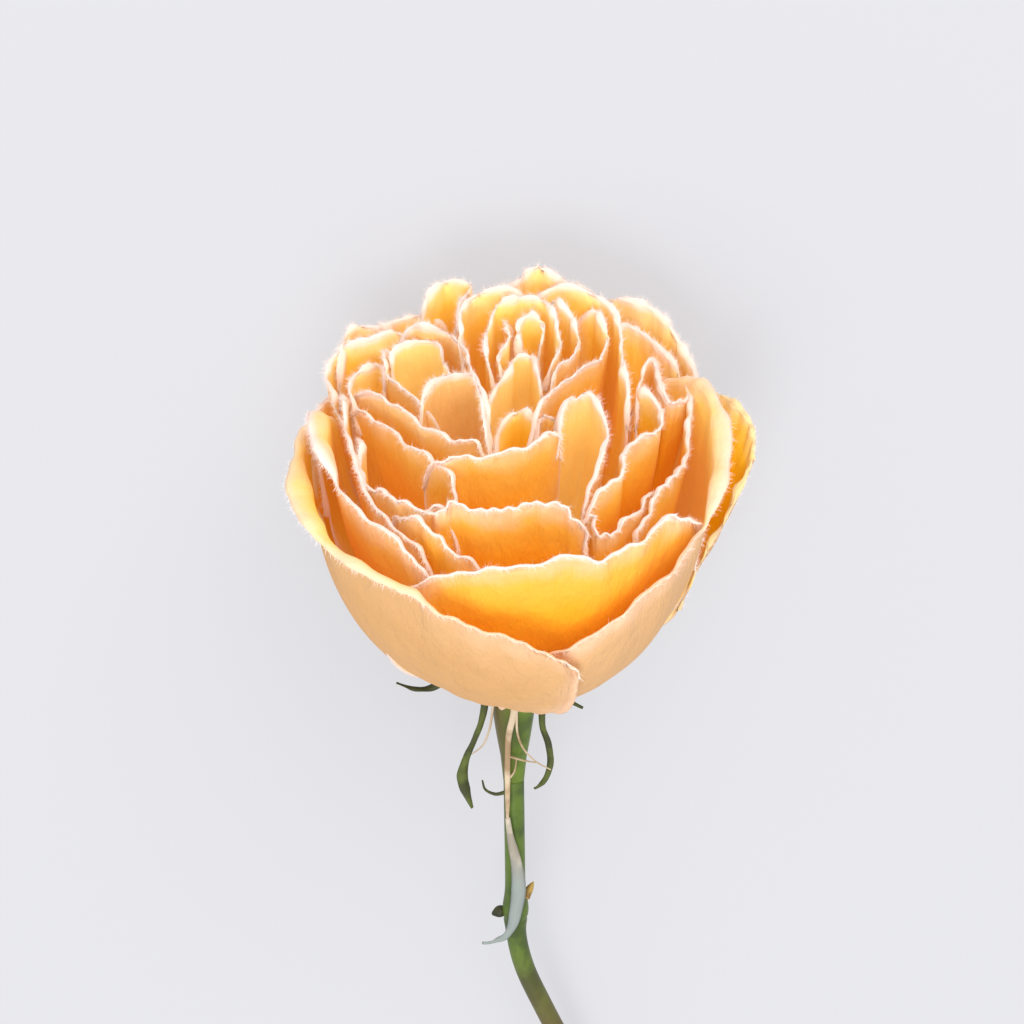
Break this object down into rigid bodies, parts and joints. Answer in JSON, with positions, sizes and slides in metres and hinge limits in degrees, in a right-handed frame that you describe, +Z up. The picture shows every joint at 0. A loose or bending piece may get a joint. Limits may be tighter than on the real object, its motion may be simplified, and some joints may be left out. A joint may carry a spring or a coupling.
{
  "type": "garden rose",
  "caption": "A full, many-petalled garden rose on its cut stem, lying on its side, with hip, sepals, side bud and a dried bract.",
  "frame": {"origin": "On the table under the middle of the whole flower: the middle of its box across and along, and its lowest point.", "axes": "+Z up from the table; +Y along the flower from the cut end of the stem towards the head; +X to the right seen from above with the head at the top."},
  "size_m": [0.0962, 0.2324, 0.0843],
  "materials": {
    "guard_petal": "soft matt petal, beige peach outside and orange yellow inside, finely veined",
    "petal": "soft matt orange yellow petal, paling to cream and pink at a downy rim",
    "stem": "smooth waxy green bark with fine lengthwise streaks",
    "sepal": "matt olive green, slightly dried",
    "dried": "papery, dried, pale beige to grey",
    "bud": "dark brownish green bud scales",
    "heart": "matt ochre threads"
  },
  "bodies": {
    "root": {"guard_front_left": "guard_petal", "guard_front_right": "guard_petal", "guard_right": "guard_petal", "guard_back": "guard_petal", "guard_back_left": "guard_petal", "second_front": "petal", "second_left": "petal", "second_back_left": "petal", "second_back": "petal", "second_back_right": "petal", "second_right": "petal", "third_left": "petal", "third_front_left": "petal", "third_front": "petal", "third_front_right": "petal", "third_right": "petal", "third_right_fold": "petal", "third_back_right": "petal", "third_back": "petal", "third_back_left": "petal", "left_outer": "petal", "left_front_outer": "petal", "left_front_middle": "petal", "left_front_inner": "petal", "left_back_curl": "petal", "left_inner_fold": "petal", "left_heart": "petal", "left_heart_cup": "petal", "left_divider": "petal", "back_left_curl": "petal", "back_outer": "petal", "back_left_arc": "petal", "back_right_arc": "petal", "back_fold": "petal", "back_inner": "petal", "back_inner_fold": "petal", "back_curl": "petal", "back_tongue": "petal", "front_inner": "petal", "front_flap": "petal", "heart_curl_left": "petal", "heart_curl_right": "petal", "hip": "stem", "stem": "stem", "sepal_left": "sepal", "sepal_right": "sepal", "sepal_back_left": "sepal", "sepal_back_right": "sepal", "sepal_front": "dried", "dried_bract": "dried", "side_bud": "bud", "leaf_stub": "bud", "stamens": "heart", "styles": "heart"}
  },
  "joints": []
}
